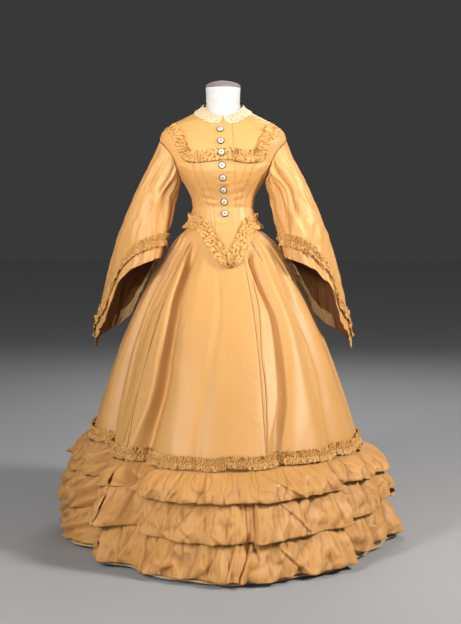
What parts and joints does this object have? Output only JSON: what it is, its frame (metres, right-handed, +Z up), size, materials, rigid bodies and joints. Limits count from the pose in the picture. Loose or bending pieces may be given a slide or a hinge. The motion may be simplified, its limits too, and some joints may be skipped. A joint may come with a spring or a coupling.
{
  "type": "wedding dress on a dress form",
  "caption": "Golden silk wedding dress of the 1860s with pointed basque, wide sleeves, lace collar and three flounces, on a white limbless dress form.",
  "frame": {"origin": "on the floor, under the axis of the form's pole, at the underside of its base", "axes": "+Z up, the wearer faces -Y, the wearer's left is +X"},
  "size_m": [1.0573, 1.3116, 1.4084],
  "materials": {
    "silk": "silk taffeta with a soft sheen",
    "silk_trim": "ruched silk taffeta",
    "lace": "matte cotton lace",
    "pearl": "polished shell",
    "cotton": "matte cotton",
    "cap_cloth": "matte cloth",
    "steel": "satin"
  },
  "bodies": {
    "root": {"skirt_front": "silk", "skirt_side_left": "silk", "skirt_back_left": "silk", "skirt_back_right": "silk", "skirt_side_right": "silk", "flounce_upper_front": "silk", "flounce_upper_left": "silk", "flounce_upper_back": "silk", "flounce_upper_right": "silk", "flounce_middle_front": "silk", "flounce_middle_left": "silk", "flounce_middle_back": "silk", "flounce_middle_right": "silk", "flounce_lower_front": "silk", "flounce_lower_left": "silk", "flounce_lower_back": "silk", "flounce_lower_right": "silk", "bodice_front_right": "silk", "bodice_front_left": "silk", "bodice_side_left": "silk", "bodice_back": "silk", "bodice_side_right": "silk", "sleeve_right_upper": "silk", "sleeve_right_under": "silk", "sleeve_left_upper": "silk", "sleeve_left_under": "silk", "skirt_trim": "silk_trim", "basque_trim": "silk_trim", "yoke_trim_right": "silk_trim", "yoke_trim_left": "silk_trim", "yoke_trim_back": "silk_trim", "sleeve_trim_right": "silk_trim", "sleeve_trim_left": "silk_trim", "collar": "lace", "sleeve_frill_right": "lace", "sleeve_frill_left": "lace", "button_1": "pearl", "button_2": "pearl", "button_3": "pearl", "button_4": "pearl", "button_5": "pearl", "button_6": "pearl", "button_7": "pearl", "button_8": "pearl", "form_torso": "cotton", "form_neck_cap": "cap_cloth", "stand_pole": "steel", "stand_base": "steel"}
  },
  "joints": []
}
